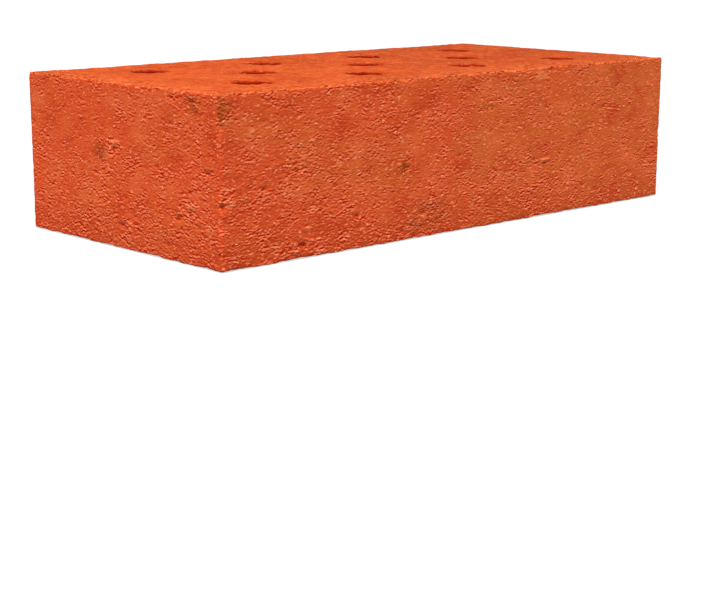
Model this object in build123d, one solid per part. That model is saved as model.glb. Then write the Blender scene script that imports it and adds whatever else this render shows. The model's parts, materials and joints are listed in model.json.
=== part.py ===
"""A perforated clay brick: clay pushed through a die, cut into bricks by wires, dried and fired.

The die gives the section, with its crisp corners and the three staggered rows of round holes
that run right through. The wires cut the two bed faces, whose arrises are worn to a small radius
and whose hole rims are worn to a small bevel.

The brick lies on its lower bed face. X runs along its length, Y across its width and Z up, and
the origin is the centre of the lower bed face. All sizes are in millimetres.
"""

from build123d import *
import os

# Format of the brick.
length = 250.0
width = 120.0
height = 62.0

# Upright corners, which the die leaves nearly sharp.
corner_radius = 1.2

# Worn edges of the bed faces: the radius round the outside, and the bevel round each hole.
arris_radius = 0.8
rim_bevel = 0.6

# Round holes: two outer rows of this many, and a middle row with one fewer between them.
hole_diameter = 14.5
outer_row_holes = 4

# Clay between the holes and the long faces (stretchers), and the end faces (headers).
stretcher_wall = 21.75
header_wall = 30.75

# Places of the holes, worked out from the sizes above.
hole_radius = hole_diameter / 2
outer_row_y = width / 2 - stretcher_wall - hole_radius
end_hole_x = length / 2 - header_wall - hole_radius
hole_pitch = 2 * end_hole_x / (outer_row_holes - 1)


def die_section():
    """The section that leaves the die: a rounded rectangle with its three rows of holes."""
    with BuildSketch() as section:
        RectangleRounded(length, width, corner_radius)
        with GridLocations(hole_pitch, 2 * outer_row_y, outer_row_holes, 2):
            Circle(hole_radius, mode=Mode.SUBTRACT)
        with GridLocations(hole_pitch, 0, outer_row_holes - 1, 1):
            Circle(hole_radius, mode=Mode.SUBTRACT)
    return section.sketch


def arrises(part):
    """The outside edges of both bed faces."""
    return [edge for bed in part.faces().filter_by(Plane.XY) for edge in bed.outer_wire().edges()]


def hole_rims(part):
    """The edges of the holes in both bed faces."""
    wires = [wire for bed in part.faces().filter_by(Plane.XY) for wire in bed.inner_wires()]
    return [edge for wire in wires for edge in wire.edges()]


def make_brick():
    """One brick: the die's section cut to height, with the edges of its bed faces worn."""
    with BuildPart() as brick:
        add(die_section())
        extrude(amount=height)
        fillet(arrises(brick), arris_radius)
        chamfer(hole_rims(brick), rim_bevel)
    brick.part.label = "brick"
    return brick.part


os.makedirs("parts", exist_ok=True)
export_step(make_brick(), "parts/brick.step")
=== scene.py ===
"""Looks of the perforated clay brick: its wrinkled, pitted fired surface, its worn arrises and torn
hole rims, the studio and the camera.

Shapes are worked out in millimetres, in the frame of the part, and turned into metres when the
mesh is made. The mesh's relief is positive where clay is missing, and the material's finer relief
where clay stands up. The photograph's front corner is the one at -X and -Y, and the two side faces
that it shows are the header at -X and the stretcher at -Y.
"""

import json
import math
from itertools import product

import bpy
import numpy as np
from mathutils import Matrix, Vector
from mathutils.geometry import delaunay_2d_cdt


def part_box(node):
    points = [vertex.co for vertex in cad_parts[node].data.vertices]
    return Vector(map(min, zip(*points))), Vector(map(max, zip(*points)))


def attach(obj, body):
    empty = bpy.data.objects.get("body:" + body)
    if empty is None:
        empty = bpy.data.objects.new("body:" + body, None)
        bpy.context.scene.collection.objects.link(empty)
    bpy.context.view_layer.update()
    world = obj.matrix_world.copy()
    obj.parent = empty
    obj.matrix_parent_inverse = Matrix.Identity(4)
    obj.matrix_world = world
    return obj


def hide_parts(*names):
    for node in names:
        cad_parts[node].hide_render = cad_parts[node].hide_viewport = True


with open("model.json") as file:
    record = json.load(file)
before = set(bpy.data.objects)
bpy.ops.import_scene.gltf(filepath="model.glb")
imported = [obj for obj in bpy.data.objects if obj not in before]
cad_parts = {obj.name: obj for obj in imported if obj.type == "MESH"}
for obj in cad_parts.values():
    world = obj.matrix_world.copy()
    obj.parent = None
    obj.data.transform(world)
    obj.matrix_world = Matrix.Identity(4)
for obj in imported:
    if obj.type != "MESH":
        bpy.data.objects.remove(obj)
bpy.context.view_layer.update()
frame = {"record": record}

# A millimetre in Blender's metres, and the tilt of clay that faces straight up.
MM = 0.001
FLAT = math.pi / 2

# The brick's size and holes, read from the frame.
low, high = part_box("brick")
length, width, height = [(b - a) / MM for a, b in zip(low, high)]
holes = [mount for mount in frame["record"]["mounts"] if mount["kind"] == "bore"]
hole_radius = holes[0]["dims"]["r_mm"]
hole_places = [(mount["pos_m"][0] / MM, mount["pos_m"][1] / MM) for mount in holes]

# Edges of the clay, as on the solid.
corner_radius = 1.2
arris_radius = 0.8
rim_bevel = 0.6

# Spacing of the mesh along the outline, up the side faces and over the bed faces, and the number of
# its segments round each upright corner and each hole.
outline_step = 1.05
row_step = 0.7
bed_step = 1.65
corner_segments = 3
hole_segments = 32

# Rings of the mesh: on the bed faces, counted in from the outline and out from the bores, down each
# bore, and round the arrises, where they are the degrees by which the clay faces up.
border_rings = (2.2, 1.4)
rim_rings = (3.4, 2.2, 1.3)
bore_rings = (1.5, 2.6, 4.2, 6.5, 10, 15, 22)
arris_rings = (90, 60, 30)


# Noise

class Noise:
    """Seeded gradient noise, from about -1 to 1."""

    count = 256
    gain = 1.7

    def __init__(self, seed):
        random = np.random.default_rng(seed)
        self.order = random.permutation(self.count)
        arrows = random.normal(size=(self.count, 3))
        self.arrows = arrows / np.linalg.norm(arrows, axis=1, keepdims=True)

    def __call__(self, places, period):
        """Noise at places in mm; period is the size of its cells along X, Y and Z."""
        places = places / np.array(period, float)
        cell = np.floor(places).astype(int)
        part = places - cell
        fade = part ** 3 * (part * (part * 6 - 15) + 10)
        total = np.zeros(len(places))
        for corner in product((0, 1), repeat=3):
            x, y, z = ((cell + corner) % self.count).T
            index = self.order[(self.order[(self.order[x] + y) % self.count] + z) % self.count]
            slope = ((part - corner) * self.arrows[index]).sum(1)
            total += slope * np.prod(np.where(corner, fade, 1 - fade), axis=1)
        return total * self.gain


def smooth(start, end, value):
    """A soft step from 0 at start to 1 at end. It falls where start is above end."""
    part = np.clip((value - start) / (end - start), 0, 1)
    return part * part * (3 - 2 * part)


# The plain shape, as rings of points with the direction that the clay faces

def outline(inset):
    """Points and outward directions round the brick's section, moved in by inset."""
    least_radius = 0.3
    radius = max(corner_radius - inset, least_radius)
    along = length / 2 - inset - radius
    across = width / 2 - inset - radius
    points, facing = [], []
    corners = ((1, -1, -90), (1, 1, 0), (-1, 1, 90), (-1, -1, 180))
    for i, (side_x, side_y, start) in enumerate(corners):
        centre = np.array((side_x * along, side_y * across))
        for k in range(corner_segments + 1):
            angle = math.radians(start + 90 * k / corner_segments)
            outward = np.array((math.cos(angle), math.sin(angle)))
            points.append(centre + radius * outward)
            facing.append(outward)
        next_x, next_y, _ = corners[(i + 1) % len(corners)]
        run = np.array(((next_x - side_x) * along, (next_y - side_y) * across))
        steps = round((length if next_x != side_x else width) / outline_step)
        for k in range(1, steps):
            points.append(points[-1] + run / steps)
            facing.append(facing[-1])
    return np.array(points), np.array(facing)


def outer_profile():
    """How far in, how high, and how steeply the clay faces up, from the lower bed to the upper."""
    border = [(inset, 0, FLAT) for inset in border_rings]
    arris = [(arris_radius * (1 - math.cos(tilt)), arris_radius * (1 - math.sin(tilt)), tilt)
             for tilt in np.radians(arris_rings)]
    side = height - 2 * arris_radius
    rows = round(side / row_step)
    middle = [(0, arris_radius + side * k / rows, 0) for k in range(rows + 1)]
    lower = [(inset, z, -tilt) for inset, z, tilt in border + arris]
    upper = [(inset, height - z, tilt) for inset, z, tilt in reversed(border + arris)]
    return lower + middle + upper


def hole_profile():
    """Radius, height and tilt of a hole's rings, from the upper bed down to the lower."""
    rim = [(out, 0, FLAT) for out in rim_rings]
    bevel = [(rim_bevel, 0, FLAT * 0.7), (rim_bevel / 2, rim_bevel / 2, FLAT / 2),
             (0, rim_bevel, FLAT * 0.2)]
    half = rim + bevel + [(0, depth, 0) for depth in bore_rings]
    upper = [(hole_radius + out, height - depth, tilt) for out, depth, tilt in half]
    lower = [(hole_radius + out, depth, -tilt) for out, depth, tilt in reversed(half)]
    return upper + [(hole_radius, height / 2, 0)] + lower


class Shape:
    """The mesh while it is being made: points, the way each faces, which are in a bore, and faces."""

    def __init__(self):
        self.points, self.facing, self.faces, self.bore = [], [], [], []

    def add(self, points, facing, bore=0):
        """Adds points and returns their numbers."""
        start = len(self.points)
        self.points.extend(points)
        self.facing.extend(facing)
        self.bore.extend([bore] * len(points))
        return list(range(start, start + len(points)))

    def band(self, ring, following):
        """Quads between two closed rings of the same count."""
        for i in range(len(ring)):
            j = (i + 1) % len(ring)
            self.faces.append((ring[i], ring[j], following[j], following[i]))


def ring_at(flat_points, flat_facing, z, tilt):
    """A flat ring raised to a height, facing up by its tilt."""
    points = [(x, y, z) for x, y in flat_points]
    facing = [(x * math.cos(tilt), y * math.cos(tilt), math.sin(tilt)) for x, y in flat_facing]
    return points, facing


def add_outer_shell(shape):
    """The side faces with their arrises. Returns the innermost ring on the lower and upper beds."""
    rings = []
    for inset, z, tilt in outer_profile():
        flat, facing = outline(inset)
        rings.append(shape.add(*ring_at(flat, facing, z, tilt)))
    for ring, following in zip(rings, rings[1:]):
        shape.band(ring, following)
    return rings[0], rings[-1]


def add_hole(shape, x, y):
    """One hole's wall and rims. Returns its outermost ring on the lower and upper beds."""
    angles = np.arange(hole_segments) * 2 * math.pi / hole_segments
    circle = np.stack((np.cos(angles), np.sin(angles)), axis=1)
    rings = []
    for radius, z, tilt in hole_profile():
        wall = abs(tilt) < math.pi / 4
        rings.append(shape.add(*ring_at((x, y) + radius * circle, -circle, z, tilt), bore=int(wall)))
    for ring, following in zip(rings, rings[1:]):
        shape.band(ring, following)
    return rings[-1], rings[0]


def bed_grid():
    """Loose points of a triangular grid on a bed face, clear of the rings at its border and holes."""
    shift = 0.18
    border_clearance = border_rings[0] + 0.7 * bed_step
    hole_clearance = hole_radius + rim_rings[0] + 0.6 * bed_step
    row = bed_step * math.sqrt(3) / 2
    xs = np.arange(-length / 2, length / 2, bed_step)
    ys = np.arange(-width / 2, width / 2, row)
    grid = np.array([(x + (i % 2) * bed_step / 2, y) for i, y in enumerate(ys) for x in xs])
    grid = grid + np.random.default_rng(11).uniform(-shift, shift, grid.shape) * bed_step
    inside = (np.abs(grid) < (length / 2 - border_clearance, width / 2 - border_clearance)).all(1)
    for place in hole_places:
        inside &= np.linalg.norm(grid - place, axis=1) > hole_clearance
    return grid[inside]


def add_bed(shape, border, rims, upward):
    """Fills a bed face between its border and the rings round its holes with triangles."""
    z = height if upward else 0
    loose = bed_grid()
    facing = (0, 0, 1 if upward else -1)
    loose_ids = shape.add([(x, y, z) for x, y in loose], [facing] * len(loose))
    ids = loose_ids + border + [i for rim in rims for i in rim]
    flat = [Vector(shape.points[i][:2]) for i in ids]
    edges, start = [], len(loose_ids)
    for ring in [border] + rims:
        count = len(ring)
        edges += [(start + k, start + (k + 1) % count) for k in range(count)]
        start += count
    whole_area = 0
    same_place = 1e-7
    triangles = delaunay_2d_cdt(flat, edges, [], whole_area, same_place)[2]

    # The triangles cover the holes too. Those that join up one hole's ring are left out.
    ring_of = {i: k for k, ring in enumerate([border] + rims) for i in ring}
    for triangle in triangles:
        corners = [ids[i] for i in triangle]
        rings = {ring_of.get(i) for i in corners}
        in_a_hole = len(rings) == 1 and None not in rings and 0 not in rings
        if not in_a_hole:
            shape.faces.append(tuple(corners if upward else reversed(corners)))


def plain_brick():
    """The brick without relief."""
    shape = Shape()
    lower_border, upper_border = add_outer_shell(shape)
    rims = [add_hole(shape, x, y) for x, y in hole_places]
    add_bed(shape, lower_border, [lower for lower, upper in rims], upward=False)
    add_bed(shape, upper_border, [upper for lower, upper in rims], upward=True)
    return shape


# Where each point is

shape = plain_brick()
points = np.array(shape.points)
facing = np.array(shape.facing)
bore = np.array(shape.bore, float)
bed = smooth(0.25, 0.8, np.abs(facing[:, 2])) * (1 - bore)
side = (1 - bed) * (1 - bore)

# Distances from the nearer bed face, the side faces, the bores and the edges between them.
drop = np.minimum(points[:, 2], height - points[:, 2])
inset_x = length / 2 - np.abs(points[:, 0])
inset_y = width / 2 - np.abs(points[:, 1])
to_centres = [np.linalg.norm(points[:, :2] - place, axis=1) for place in hole_places]
from_bore = np.min(to_centres, axis=0) - hole_radius
arris_distance = np.hypot(np.minimum(inset_x, inset_y), drop)
corner_distance = np.hypot(inset_x, inset_y)
rim_distance = np.hypot(from_bore, drop)

# Distances from the two arrises and the front corner that the photograph shows.
from_seen_x = points[:, 0] + length / 2
from_seen_y = points[:, 1] + width / 2
seen_arris = np.minimum(from_seen_x, from_seen_y)
from_front = np.hypot(from_seen_x, from_seen_y)


def near(distance, reach):
    """1 where the distance is 0, fading out over about the reach."""
    return np.exp(-(distance / reach) ** 2)


# Marks seen in the photograph on the two faces that it shows

class Mark:
    """A pit, ridge, tear or stain on a face. Places and half sizes are in mm: across from the face's
    left edge, and down from its top. Depth is in mm too, and negative for a ridge. Torn, stain and
    pale run from 0 to 1."""

    def __init__(self, across, down, half_across, half_down, depth=0.0, torn=0.0, stain=0.0, pale=0.0):
        self.across, self.down = across, down
        self.half_across, self.half_down = half_across, half_down
        self.depth, self.torn, self.stain, self.pale = depth, torn, stain, pale


HEADER_MARKS = [
    # The chip with a bright ridge left of the middle, and the stain and smooth patch beside it.
    Mark(56.5, 24.0, 5.0, 3.6, torn=1.0),
    Mark(57.2, 22.4, 2.8, 1.3, depth=-0.45, pale=1.0),
    Mark(56.2, 25.0, 1.2, 0.7, depth=0.5),
    Mark(47.6, 26.6, 5.4, 4.4, depth=0.1, stain=0.7),
    Mark(52.0, 27.6, 3.4, 2.6, pale=0.2),
    # Open pits, most of them towards the front corner.
    Mark(99.5, 20.6, 1.1, 0.9, depth=0.5),
    Mark(112.7, 27.9, 2.5, 1.1, depth=0.45),
    Mark(82.8, 28.4, 2.7, 0.9, depth=0.35),
    Mark(106.9, 47.8, 1.3, 0.9, depth=0.55),
    Mark(88.6, 55.9, 1.8, 0.9, depth=0.5),
    Mark(118.0, 55.9, 1.4, 0.9, depth=0.5),
    Mark(92.5, 3.6, 2.6, 1.0, depth=0.4),
    Mark(3.0, 19.3, 1.2, 1.0, depth=0.5),
    # The pit with a raised, pale rim.
    Mark(113.8, 48.0, 1.0, 0.9, depth=0.55),
    Mark(113.8, 48.0, 2.2, 1.8, depth=-0.12, pale=0.6),
    # The stained cluster under the top edge.
    Mark(104.5, 4.8, 5.5, 4.8, torn=0.5, stain=0.5),
    Mark(104.0, 3.8, 2.6, 0.7, depth=0.5),
    Mark(106.4, 7.6, 0.9, 1.1, depth=0.6),
    # The torn ridge low on the right.
    Mark(102.0, 42.0, 6.5, 4.0, torn=0.9),
    Mark(103.5, 40.6, 2.8, 0.9, depth=-0.3, pale=1.0),
    Mark(95.0, 45.7, 2.8, 1.4, depth=0.4, stain=0.5),
    # The short crack and ridge near the bottom.
    Mark(62.0, 52.4, 6.5, 2.2, torn=0.8),
    Mark(60.2, 52.8, 3.2, 0.7, depth=0.6),
    Mark(65.8, 51.8, 2.0, 0.8, depth=-0.3, pale=0.8),
    # The stained top of the front corner.
    Mark(119.5, 5.2, 2.6, 5.0, torn=0.3, stain=0.5),
]

STRETCHER_MARKS = [
    # Pale grains, one of them over a shallow pit.
    Mark(4.5, 9.6, 1.2, 0.9, depth=-0.2, pale=1.0),
    Mark(14.0, 13.7, 1.1, 0.8, depth=-0.2, pale=0.8),
    Mark(42.5, 19.3, 1.5, 0.8, depth=-0.25, pale=0.7),
    Mark(55.5, 29.5, 1.2, 0.8, depth=-0.2, pale=1.0),
    Mark(35.5, 36.1, 1.2, 0.9, depth=-0.2, pale=1.0),
    Mark(10.5, 36.6, 1.8, 0.9, depth=-0.2, pale=0.9),
    Mark(28.0, 44.2, 1.1, 0.8, depth=-0.25, pale=0.6),
    Mark(3.0, 33.4, 1.0, 0.8, depth=-0.2, pale=1.0),
    Mark(40.5, 51.3, 1.4, 1.1, depth=-0.15, pale=1.0),
    Mark(40.6, 53.2, 2.0, 0.7, depth=0.25),
    # The slanted chip on the front corner.
    Mark(2.6, 38.8, 4.0, 3.0, torn=1.0),
    Mark(4.0, 38.2, 2.2, 1.0, depth=-0.25, pale=0.7),
    Mark(0.8, 39.2, 1.6, 1.3, depth=0.7),
    # Torn places near the bottom.
    Mark(36.5, 57.4, 6.5, 3.6, torn=1.0),
    Mark(37.5, 56.9, 2.0, 1.2, depth=0.9),
    Mark(34.6, 58.9, 2.2, 0.8, depth=-0.3, pale=0.6),
    Mark(25.0, 55.9, 4.0, 2.6, torn=0.7, pale=0.2),
    Mark(45.5, 60.0, 3.4, 1.4, torn=0.7, pale=0.3),
    Mark(42.5, 44.2, 3.4, 2.2, torn=0.6, pale=0.2),
    # The stained pit a third of the way along, and the stained patch below it.
    Mark(89.2, 34.2, 2.6, 4.4, torn=0.5, stain=0.8),
    Mark(89.5, 35.2, 1.1, 2.0, depth=0.4),
    Mark(86.6, 32.0, 1.4, 0.8, depth=-0.3, pale=0.6),
    Mark(102.5, 53.4, 15.0, 8.0, torn=0.5, stain=0.4, pale=0.05),
    # Paler patches, two of them wrinkled.
    Mark(37.5, 23.4, 9.5, 5.0, torn=0.5, pale=0.05),
    Mark(107.0, 16.3, 14.0, 6.5, torn=0.3, pale=0.08),
    Mark(168.0, 3.2, 5.0, 2.0, pale=0.4),
    # The pit with a bright ridge above it, and small pits towards the far end.
    Mark(171.0, 39.8, 1.7, 0.9, depth=0.35),
    Mark(171.0, 38.1, 2.8, 0.9, depth=-0.3, pale=0.6),
    Mark(219.0, 10.2, 1.0, 0.8, depth=0.45),
    Mark(197.0, 11.7, 1.0, 0.8, depth=0.4),
    # The stained top of the front corner.
    Mark(0.6, 5.4, 5.4, 6.2, torn=0.5, stain=0.55),
]

ragged_across, ragged_down = [0.45 * Noise(seed)(points, (3.1, 3.1, 2.1)) for seed in (61, 62)]


class Face:
    """A side face: where its left top corner is, the way across it and the way it faces."""

    def __init__(self, corner, across, facing, marks):
        self.corner, self.across, self.facing = map(np.array, (corner, across, facing))
        self.marks = marks

    def nearness(self, mark):
        """For each point 1 at the middle of a mark, falling to 0 at its ragged edge."""
        offset = points - self.corner
        sideways = (offset @ self.across - mark.across) / mark.half_across + ragged_across
        downwards = (-offset[:, 2] - mark.down) / mark.half_down + ragged_down
        on_face = smooth(2.2, 0.5, np.abs(offset @ self.facing))
        return smooth(0, 0.7, 1 - sideways * sideways - downwards * downwards) * on_face


SEEN_FACES = [
    Face((-length / 2, width / 2, height), (0, -1, 0), (-1, 0, 0), HEADER_MARKS),
    Face((-length / 2, -width / 2, height), (1, 0, 0), (0, -1, 0), STRETCHER_MARKS),
]


def mark_total(amount):
    """One amount of every mark, added up over the points."""
    total = np.zeros(len(points))
    for face in SEEN_FACES:
        for mark in face.marks:
            if getattr(mark, amount):
                total += getattr(mark, amount) * face.nearness(mark)
    return total


# Relief, in mm of missing clay

def coarseness():
    """How coarse the clay is at each place, from about 0.2 to 1.6. It is coarser in patches, on the
    sides also low down, towards the front corner and a little on the headers, and on the beds also
    near the arrises that the photograph shows."""
    patches = smooth(-0.4, 0.5, Noise(26)(points, (26, 26, 15)) + 0.3 * Noise(27)(points, (9, 9, 6)))
    clusters = smooth(0.1, 0.7, Noise(28)(points, (8, 8, 5.5)))
    low_down = smooth(44, 8, points[:, 2])
    header = np.abs(facing[:, 0])
    far_end = smooth(60, 240, from_front)
    sides = 0.24 + 0.2 * patches + 0.26 * low_down + 0.4 * clusters
    sides = (sides + 0.03 * header) * (1 - 0.3 * far_end)
    beds = 0.8 + 0.5 * patches + 0.3 * smooth(26, 3, seen_arris)
    return beds * bed + sides * (1 - bed)


def wrinkles():
    """Tears that the die leaves across the flow of clay: low, wide crests on the side faces."""
    warped = points + 1.6 * np.stack([Noise(21 + k)(points, (8, 8, 6)) for k in range(3)], axis=1)
    crests = Noise(24)(warped, (4.6, 4.6, 2.0))
    ridges = 1 - 2 * np.abs(Noise(25)(warped, (7.5, 7.5, 3.2)))
    return side * coarseness() * (0.09 * crests - 0.05 * ridges)


def lumps():
    """Soft unevenness of every face, crumbled beds and the flutes that the die leaves in the bores."""
    broad = 0.12 * Noise(31)(points, (75, 75, 50))
    middle = 0.05 * Noise(32)(points, (14, 14, 9))
    crumbled = 0.12 + 0.13 * smooth(18, 3, seen_arris)
    rough_bed = bed * crumbled * (Noise(33)(points, (7, 7, 7)) + Noise(34)(points, (3.6, 3.6, 3.6)))
    grain = 0.03 * Noise(35)(points, (2.3, 2.3, 1.6))
    flutes = bore * 0.14 * Noise(36)(points, (2.6, 2.6, 60))
    return broad + middle + rough_bed + grain + flutes


def pits():
    """Seeded open pits on all six faces, wider than they are high."""
    count = 130
    half_sizes = (0.8, 1.3)
    squash = np.array((1.3, 1.3, 0.75))
    depths = (0.3, 0.8)
    random = np.random.default_rng(41)
    outside = np.flatnonzero(bore == 0)
    uneven = 1 + 0.6 * Noise(42)(points, (1.8, 1.8, 1.8))
    missing = np.zeros(len(points))
    for centre in points[random.choice(outside, count)]:
        half = random.uniform(*half_sizes) * squash
        hollow = 1 - (((points - centre) / half) ** 2).sum(1) * uneven
        missing += random.uniform(*depths) * np.clip(hollow, 0, 1)
    return missing


def worn_edges():
    """Small bites out of the arrises, the upright corners and the hole rims."""
    bites = smooth(0.25, 0.75, Noise(51)(points, (6.5, 6.5, 6.5)))
    nibbles = np.clip(Noise(52)(points, (2.6, 2.6, 2.6)), 0, 1)
    torn = Noise(53)(points, (2.6, 2.6, 2.6))
    near_arris = near(arris_distance, 1.5) * (0.5 + 0.5 * smooth(40, 8, seen_arris))
    near_corner = near(corner_distance, 2.6) * side
    near_rim = near(rim_distance, 1.6)
    return (near_arris * (0.25 * bites + 0.25 * nibbles) + near_corner * (0.3 * bites + 0.2 * nibbles)
            + near_rim * (0.25 + 0.7 * torn))


def arris_highlight():
    """Painted highlight along the arrises, on clay that faces up or down, and in a wide strip on the
    beds beside the arrises of the -X and -Y faces.
    """
    arrises = 0.3 * near(arris_distance, 1.4) * smooth(0.1, 0.8, np.abs(facing[:, 2]))
    return arrises + 0.5 * bed * smooth(24, 4, seen_arris)


torn_clay = np.clip(mark_total("torn"), 0, 1)
splinters = 0.6 * Noise(71)(points, (2.6, 2.6, 1.7)) + 0.4 * Noise(72)(points, (5.0, 5.0, 3.0))
fine_relief = wrinkles() + pits() + mark_total("depth") + worn_edges() + 0.8 * torn_clay * splinters

# The whole surface is sunk a little, so that its ridges stay inside the solid. Close to the edges the
# relief stays less than the arrises' radius, so that no face turns over.
sunk = 0.35
edge_limit = 0.95 * arris_radius
edge_distance = np.minimum(arris_distance, rim_distance)
relief = sunk + lumps() + fine_relief
relief = np.minimum(relief, edge_limit + 2 * smooth(0.8, 2.0, edge_distance))
relief = np.where(bore > 0, relief, np.maximum(relief, 0.0))

# Pale clay is on what stands up, not in the pits.
pale = 1.7 * mark_total("pale") * smooth(0.35, 0.1, fine_relief)
pale = np.clip(pale + 0.6 * torn_clay * smooth(0.1, 0.4, -splinters), 0, 1)


def make_brick():
    """The brick's mesh, with what its material has to know about each point."""
    placed = (points - facing * relief[:, None]) * MM
    mesh = bpy.data.meshes.new("fired_brick")
    mesh.from_pydata(placed.tolist(), [], shape.faces)
    # The cavity is 0.5 where the fine relief is level and 1 in a pit, and sets the painted shade in
    # pits. The bore is 1 inside its mouth and 2 deep down, and sets the painted shade in the bores.
    attributes = {
        "cavity": np.clip(0.5 + fine_relief / 0.7, 0, 1),
        "coarse": coarseness() + 0.6 * torn_clay,
        "bed": bed,
        "edge": arris_highlight(),
        "bore": bore * (smooth(-0.9, 1.5, drop) + smooth(2.5, 15, drop)),
        "stain": np.clip(mark_total("stain"), 0, 1),
        "pale": pale,
    }
    for name, values in attributes.items():
        layer = mesh.attributes.new(name, "FLOAT", "POINT")
        layer.data.foreach_set("value", values.astype(np.float32))
    mesh.shade_smooth()
    brick = bpy.data.objects.new("fired_brick", mesh)
    bpy.context.collection.objects.link(brick)
    return brick


# Making materials

def direction(azimuth, elevation):
    """The way towards a place at this azimuth and elevation, in degrees; azimuth 0 is the -Y side."""
    turn, rise = math.radians(azimuth), math.radians(elevation)
    return Vector((math.sin(turn) * math.cos(rise), -math.cos(turn) * math.cos(rise), math.sin(rise)))


def linear(red, green, blue):
    """A colour given as it looks on screen, from 0 to 255, as shader values by the sRGB curve."""
    def channel(value):
        value = value / 255
        return value / 12.92 if value <= 0.04045 else ((value + 0.055) / 1.055) ** 2.4
    return (channel(red), channel(green), channel(blue), 1)


class Nodes:
    """Makes and joins the nodes of a material or world. A value is a number, a vector or a socket."""

    def __init__(self, owner):
        owner.use_nodes = True
        self.tree = owner.node_tree
        self.tree.nodes.clear()

    def add(self, kind, settings=None, **inputs):
        """A node with its settings and inputs; an underscore in an input's name stands for a space."""
        node = self.tree.nodes.new(kind)
        for name, value in (settings or {}).items():
            setattr(node, name, value)
        for name, value in inputs.items():
            self.feed(node.inputs[name.replace("_", " ")], value)
        return node

    def feed(self, socket, value):
        """Joins an input to another node's output, or sets it."""
        if isinstance(value, bpy.types.NodeSocket):
            self.tree.links.new(value, socket)
        else:
            socket.default_value = value

    def math(self, operation, *values, kind="ShaderNodeMath", output=0):
        """What an operation gives for these values."""
        node = self.add(kind, {"operation": operation})
        for socket, value in zip(node.inputs, values):
            self.feed(socket, value)
        return node.outputs[output]

    def vector(self, operation, *values, output=0):
        """The same for vectors."""
        return self.math(operation, *values, kind="ShaderNodeVectorMath", output=output)

    def step(self, value, start, end, low=0.0, high=1.0):
        """A soft step from low to high as value goes from start to end."""
        node = self.add("ShaderNodeMapRange", {"interpolation_type": "SMOOTHSTEP"},
                        Value=value, From_Min=start, From_Max=end, To_Min=low, To_Max=high)
        return node.outputs["Result"]

    def mix(self, factor, first, second, kind="RGBA"):
        """Goes from the first to the second as the factor goes from 0 to 1. They are colours, or
        numbers where the kind is FLOAT, and the node has sockets of its own for each kind."""
        first_input, second_input, output = {"FLOAT": (2, 3, 0), "RGBA": (6, 7, 2)}[kind]
        node = self.add("ShaderNodeMix", {"data_type": kind}, Factor=factor)
        self.feed(node.inputs[first_input], first)
        self.feed(node.inputs[second_input], second)
        return node.outputs[output]

    def attribute(self, name):
        """What the mesh says about each point under this name."""
        return self.add("ShaderNodeAttribute", {"attribute_name": name}).outputs["Fac"]

    def place(self, x=1.0, y=1.0, z=1.0):
        """Object coordinates counted in cells of x by y by z mm."""
        here = self.add("ShaderNodeTexCoord").outputs["Object"]
        return self.vector("MULTIPLY", here, (1 / (x * MM), 1 / (y * MM), 1 / (z * MM)))

    def noise(self, place, detail=2.0, roughness=0.5, distortion=0.0, output="Fac"):
        """Noise from 0 to 1, about 0.5 on average. Its Color output is three such noises."""
        node = self.add("ShaderNodeTexNoise", Vector=place, Scale=1.0, Detail=detail,
                        Roughness=roughness, Distortion=distortion)
        return node.outputs[output]

    def relief(self, noise, rise, under=0.0):
        """A noise as relief that rises this many mm as the noise goes from 0 to 1, laid over other
        relief and centred on it."""
        return self.math("MULTIPLY_ADD", self.math("SUBTRACT", noise, 0.5), rise, under)


# The fired clay

SCREEN_COLOURS = {
    # The sides: redder at the header, browner along the brick, in clouds, and darker at the foot, which
    # is a painted contact shadow.
    "side_red": (227, 86, 39),
    "side_brown": (215, 101, 44),
    "side_pale": (236, 110, 58),
    "side_deep": (200, 62, 24),
    "painted_foot_shadow": (182, 64, 22),
    # The beds: more orange, in mottles that are partly the clay's own tone and partly painted shade and
    # highlight of their unevenness.
    "bed_orange": (214, 89, 34),
    "bed_brown": (184, 75, 31),
    "bed_pale": (236, 112, 52),
    "bed_deep": (184, 54, 10),
    # The fine relief's painted highlight and shade: on its tops and in its gaps, and on its slopes that
    # face up and down.
    "top": (240, 122, 82),
    "gap": (196, 46, 8),
    "painted_slope_highlight": (234, 115, 76),
    "painted_slope_shade": (226, 48, 4),
    # Painted highlight along the edges, and darker spots on them.
    "painted_edge_highlight": (248, 120, 62),
    "darker_edge_spots": (170, 54, 10),
    # Marks, some split into painted lit and shaded tones, and the painted shade in pits and bores.
    "stain_painted_lit": (176, 84, 32),
    "stain_painted_shade": (140, 52, 6),
    "fleck": (254, 148, 104),
    "fragment": (255, 148, 96),
    "pit": (196, 40, 4),
    "painted_bore_shade": (154, 22, 0),
    "painted_deep_bore_shade": (84, 8, 0),
}
CLAY = {name: linear(*colour) for name, colour in SCREEN_COLOURS.items()}


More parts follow.
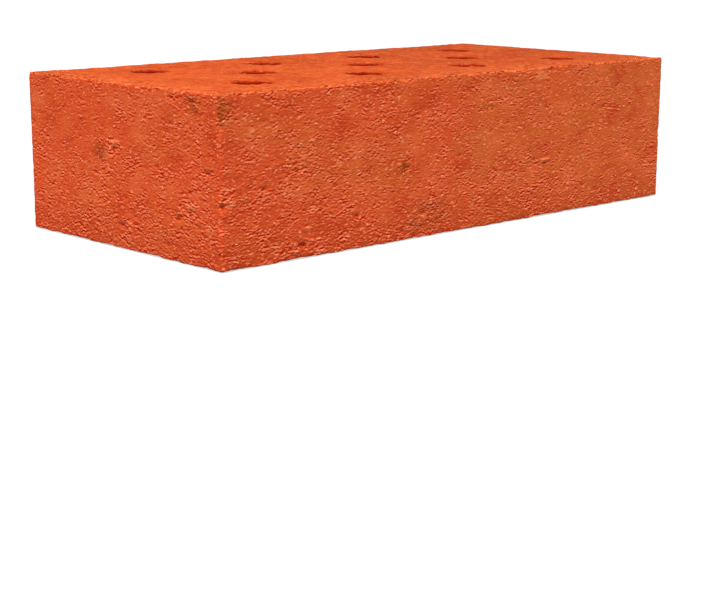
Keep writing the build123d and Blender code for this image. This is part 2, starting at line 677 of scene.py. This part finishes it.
def side_relief(nodes, coarse):
    """Fine relief of the side faces, in mm: folds, level tears that lap over each other, crumbs and
    ripples, all of them stronger in patches."""
    fold_rise = 0.33
    tear_rise = 0.34
    crumb_rise = 0.55
    ripple_rise = 0.26
    folds = nodes.noise(nodes.place(3.0, 3.0, 1.3), detail=0, distortion=0.6)
    ripples = nodes.noise(nodes.place(0.95, 0.95, 0.62), detail=1)

    # The tears' noise is read a little higher up where it is strong, so that they lean over.
    bend = nodes.noise(nodes.place(5, 5, 4), detail=0, output="Color")
    bent = nodes.vector("MULTIPLY_ADD", bend, (1.0, 1.0, 1.0), nodes.place(1.5, 1.5, 0.93))
    lap = nodes.add("ShaderNodeCombineXYZ", Z=nodes.math("MULTIPLY", nodes.noise(bent, detail=0), 0.6))
    tears = nodes.noise(nodes.vector("ADD", bent, lap.outputs[0]), detail=0)

    # A crumb is highest in its middle, where the distance from it is least.
    less_bent = nodes.vector("MULTIPLY_ADD", bend, (0.6, 0.6, 0.6), nodes.place(1.5, 1.5, 0.95))
    crumbs = nodes.add("ShaderNodeTexVoronoi", {"feature": "SMOOTH_F1"}, Vector=less_bent,
                       Scale=1.0, Smoothness=0.35).outputs["Distance"]

    relief = nodes.relief(tears, tear_rise, nodes.relief(folds, fold_rise))
    relief = nodes.relief(ripples, ripple_rise, nodes.relief(crumbs, -crumb_rise, relief))
    patchy = nodes.step(nodes.noise(nodes.place(3.6, 3.6, 2.6), detail=1), 0.42, 0.74, 0.32, 1.6)
    return nodes.math("MULTIPLY", relief, nodes.math("MULTIPLY", coarse, patchy))


def bed_relief(nodes, coarse):
    """Fine relief of the bed faces, in mm: sandy, with faint drag lines from the wire."""
    grit_rise = 2.5
    drag_rise = 1.1
    grit = nodes.noise(nodes.place(2.2, 2.2, 2.2), detail=3, roughness=0.6)
    drag = nodes.noise(nodes.place(1.3, 14, 1.3), detail=2)
    return nodes.math("MULTIPLY", nodes.relief(drag, drag_rise, nodes.relief(grit, grit_rise)), coarse)


def clay_relief(nodes, bed_mask):
    """The relief that is finer than the mesh, in mm: that of the sides or of the beds, with sand."""
    side_sand_rise = 0.08
    bed_sand_rise = 0.2
    coarse = nodes.attribute("coarse")
    sand = nodes.noise(nodes.place(0.45, 0.45, 0.4), detail=1)
    sides = nodes.relief(sand, side_sand_rise, side_relief(nodes, coarse))
    beds = nodes.relief(sand, bed_sand_rise, bed_relief(nodes, coarse))
    return nodes.mix(bed_mask, sides, beds, kind="FLOAT")


def body_colour(nodes, bed_mask):
    """Red clay that drifts to a browner orange along the brick, is more orange on its beds, and a
    little darker beside the lower bed, where a contact shadow is painted."""
    drift_per_mm = 0.0013
    most_cloud = 0.9
    most_foot_shadow = 0.45
    most_bed = 0.85
    here = nodes.add("ShaderNodeSeparateXYZ", Vector=nodes.place())
    along, above = here.outputs["X"], here.outputs["Z"]
    broad = nodes.noise(nodes.place(55, 55, 40), detail=3)
    broad = nodes.math("MULTIPLY_ADD", along, drift_per_mm, broad)
    clouds = nodes.noise(nodes.place(13, 13, 9), detail=3, roughness=0.6)
    sides = nodes.mix(nodes.step(broad, 0.33, 0.6), CLAY["side_red"], CLAY["side_brown"])
    sides = nodes.mix(nodes.step(clouds, 0.5, 0.72, 0.0, most_cloud), sides, CLAY["side_pale"])
    sides = nodes.mix(nodes.step(clouds, 0.5, 0.28, 0.0, most_cloud), sides, CLAY["side_deep"])
    # Painted contact shadow: darker clay beside the lower bed.
    sides = nodes.mix(nodes.step(above, 16, 2, 0.0, most_foot_shadow), sides, CLAY["painted_foot_shadow"])
    mottles = nodes.noise(nodes.place(4.5, 4.5, 4.5), detail=4, roughness=0.8)
    beds = nodes.mix(nodes.step(along, -110, 90), CLAY["bed_orange"], CLAY["bed_brown"])
    # The mottles are partly the beds' own tone and partly painted shade and highlight of their
    # unevenness.
    beds = nodes.mix(nodes.step(mottles, 0.5, 0.66, 0.0, 0.75), beds, CLAY["bed_pale"])
    beds = nodes.mix(nodes.step(mottles, 0.5, 0.34, 0.0, 0.9), beds, CLAY["bed_deep"])
    return nodes.mix(nodes.math("MULTIPLY", bed_mask, most_bed), sides, beds)


def relief_colour(nodes, colour, fine_height, upward):
    """Painted highlight on the tops of the fine relief and painted shade in its gaps. Slopes that face
    up get a paler painted highlight, and the others a deeper red painted shade."""
    full_height = 0.2
    most_height = 0.6
    full_slope = 0.27
    # Painted highlight on the tops and painted shade in the gaps.
    colour = nodes.mix(nodes.step(fine_height, 0.0, full_height, 0.0, most_height), colour, CLAY["top"])
    colour = nodes.mix(nodes.step(fine_height, 0.0, -full_height, 0.0, most_height), colour, CLAY["gap"])
    # Painted highlight on slopes that face up, painted shade on the others.
    colour = nodes.mix(nodes.step(upward, 0.0, full_slope), colour, CLAY["painted_slope_highlight"])
    return nodes.mix(nodes.step(upward, 0.0, -full_slope), colour, CLAY["painted_slope_shade"])


def edge_colour(nodes, colour):
    """Painted highlight along the edges, bright in places and broken by darker spots in others."""
    # This noise breaks the painted edge highlight into bright places and darker spots.
    worn = nodes.noise(nodes.place(1.8, 1.8, 1.2), detail=2)
    painted_edge_highlight = nodes.math("MULTIPLY", nodes.attribute("edge"), nodes.step(worn, 0.4, 0.58, 0.0, 1.2))
    darker_edge_spots = nodes.math("MULTIPLY", nodes.attribute("edge"), nodes.step(worn, 0.46, 0.34, 0.0, 0.8))
    return nodes.mix(darker_edge_spots, nodes.mix(painted_edge_highlight, colour, CLAY["painted_edge_highlight"]), CLAY["darker_edge_spots"])


def mark_colour(nodes, colour, upward, bed_mask):
    """Broken stains in painted lit and shaded tones, pale flecks and fragments on the crests, which are
    also painted highlight, and red painted shade in pits and bores.
    """
    broken = nodes.step(nodes.noise(nodes.place(2.2, 2.2, 1.5), detail=3), 0.3, 0.55, 0.3, 1.0)
    # The real stain colour is split by slope: a painted lit tone where it faces up, a painted shade tone
    # elsewhere.
    stained = nodes.mix(nodes.step(upward, 0.12, -0.12), CLAY["stain_painted_lit"], CLAY["stain_painted_shade"])
    colour = nodes.mix(nodes.math("MULTIPLY", nodes.attribute("stain"), broken), colour, stained)
    # Pale flecks and fragments are the clay's own pale grains, shown mostly on slopes that face up, so
    # they are also painted highlight.
    crested = nodes.step(upward, -0.12, 0.1, 0.2, 1.0)
    fewer_on_beds = nodes.math("MULTIPLY", crested, nodes.step(bed_mask, 0.0, 1.0, 1.0, 0.5))
    flecks = nodes.step(nodes.noise(nodes.place(1.6, 1.6, 0.9), detail=0), 0.66, 0.76)
    colour = nodes.mix(nodes.math("MULTIPLY", flecks, fewer_on_beds), colour, CLAY["fleck"])
    fragments = nodes.math("MULTIPLY", nodes.attribute("pale"), crested)
    colour = nodes.mix(fragments, colour, CLAY["fragment"])
    # Painted shade in the pits.
    colour = nodes.mix(nodes.step(nodes.attribute("cavity"), 0.8, 1.0, 0.0, 0.6), colour, CLAY["pit"])
    # Painted shade inside the bores, deeper further down.
    colour = nodes.mix(nodes.attribute("bore"), colour, CLAY["painted_bore_shade"])
    return nodes.mix(nodes.step(nodes.attribute("bore"), 1.0, 2.0), colour, CLAY["painted_deep_bore_shade"])


def clay_material():
    """Fired clay, whose fine relief is a bump and also sets its painted highlight and shade, mostly on
    the sides.
    """
    slope_on_beds = 0.15
    painted_light_way = (0.0, 0.3, 1.0)
    material = bpy.data.materials.new("fired_clay_surface")
    nodes = Nodes(material)
    bed_mask = nodes.attribute("bed")
    fine = clay_relief(nodes, bed_mask)
    bump = nodes.add("ShaderNodeBump", Strength=1.0, Distance=MM, Height=fine).outputs[0]

    # How far the fine relief tilts the clay towards the painted light: up, and a little towards +Y.
    smooth_normal = nodes.add("ShaderNodeNewGeometry").outputs["Normal"]
    tilt = nodes.vector("SUBTRACT", bump, smooth_normal)
    upward = nodes.vector("DOT_PRODUCT", tilt, painted_light_way, output="Value")
    upward = nodes.math("MULTIPLY", upward, nodes.step(bed_mask, 0.0, 1.0, 1.0, slope_on_beds))
    side_height = nodes.math("MULTIPLY", fine, nodes.step(bed_mask, 0.0, 1.0, 1.0, 0.0))

    colour = relief_colour(nodes, body_colour(nodes, bed_mask), side_height, upward)
    colour = mark_colour(nodes, edge_colour(nodes, colour), upward, bed_mask)
    shader = nodes.add("ShaderNodeBsdfPrincipled", Base_Color=colour, Roughness=0.95,
                       Specular_IOR_Level=0.06, Normal=bump)
    nodes.add("ShaderNodeOutputMaterial", Surface=shader.outputs[0])
    return material


brick = make_brick()
brick.data.materials.append(clay_material())
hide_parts("brick")
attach(brick, "root")


# The studio

def make_floor(reach=6.0, shade=0.32, glow=0.62):
    """A white floor that keeps the brick's shadow. To the camera its open part is plain white."""
    mesh = bpy.data.meshes.new("studio_floor")
    corners = [(-reach, -reach, 0), (reach, -reach, 0), (reach, reach, 0), (-reach, reach, 0)]
    mesh.from_pydata(corners, [], [(0, 1, 2, 3)])
    floor = bpy.data.objects.new("studio_floor", mesh)
    bpy.context.collection.objects.link(floor)
    material = bpy.data.materials.new("floor_white")
    nodes = Nodes(material)
    diffuse = nodes.add("ShaderNodeBsdfDiffuse", Color=(shade, shade, shade, 1))
    glowing = nodes.add("ShaderNodeEmission", Color=(1, 1, 1, 1), Strength=glow)
    rays = nodes.add("ShaderNodeLightPath")
    lit = nodes.add("ShaderNodeAddShader")
    nodes.feed(lit.inputs[0], diffuse.outputs[0])
    nodes.feed(lit.inputs[1], glowing.outputs[0])
    shown = nodes.add("ShaderNodeMixShader")
    nodes.feed(shown.inputs[0], rays.outputs["Is Camera Ray"])
    nodes.feed(shown.inputs[1], diffuse.outputs[0])
    nodes.feed(shown.inputs[2], lit.outputs[0])
    nodes.add("ShaderNodeOutputMaterial", Surface=shown.outputs[0])
    mesh.materials.append(material)


def make_world(level):
    """Even light from all round, seen as plain white by the camera and in reflections."""
    world = bpy.data.worlds.new("studio_world")
    bpy.context.scene.world = world
    nodes = Nodes(world)
    rays = nodes.add("ShaderNodeLightPath")
    seen = nodes.math("MAXIMUM", rays.outputs["Is Camera Ray"], rays.outputs["Is Glossy Ray"])
    seen = nodes.math("MAXIMUM", seen, rays.outputs["Is Transmission Ray"])
    strength = nodes.math("MULTIPLY_ADD", seen, 1 - level, level)
    light = nodes.add("ShaderNodeBackground", Color=(1, 1, 1, 1), Strength=strength)
    nodes.add("ShaderNodeOutputWorld", Surface=light.outputs[0])


def make_lamp(name, away, spread, strength):
    """A broad soft lamp, far off in the given direction; spread is in degrees."""
    lamp = bpy.data.lights.new(name, "SUN")
    lamp.angle, lamp.energy = math.radians(spread), strength
    lamp_object = bpy.data.objects.new(name, lamp)
    lamp_object.location = away
    lamp_object.rotation_euler = away.to_track_quat("Z", "Y").to_euler()
    bpy.context.collection.objects.link(lamp_object)


def make_camera():
    """The photograph's camera, fitted to the corners of the brick, with its picture centred. Its
    place is in metres, and its focal length in pixels of the photograph."""
    picture_width = 714
    sensor = 36.0
    focal_pixels = 1597.0
    azimuth, elevation = -43.36, 13.01
    roll = math.radians(0.19)
    distance, aside, above = 0.6782, -0.0031, -0.0376
    back = direction(azimuth, elevation)
    level = direction(azimuth + 90, 0)
    upright = back.cross(level)
    right = level * math.cos(roll) + upright * math.sin(roll)
    up = upright * math.cos(roll) - level * math.sin(roll)
    camera = bpy.data.cameras.new("camera")
    camera.sensor_width = sensor
    camera.lens = focal_pixels * sensor / picture_width
    camera_object = bpy.data.objects.new("camera", camera)
    turn = Matrix((right, up, back)).transposed().to_4x4()
    camera_object.matrix_world = Matrix.Translation(back * distance + right * aside + up * above) @ turn
    bpy.context.collection.objects.link(camera_object)
    bpy.context.scene.camera = camera_object


bpy.context.scene.view_settings.view_transform = "Standard"
make_floor()
make_world(level=0.39)
make_lamp("key", direction(azimuth=-50, elevation=62), spread=16, strength=3.75)
make_camera()
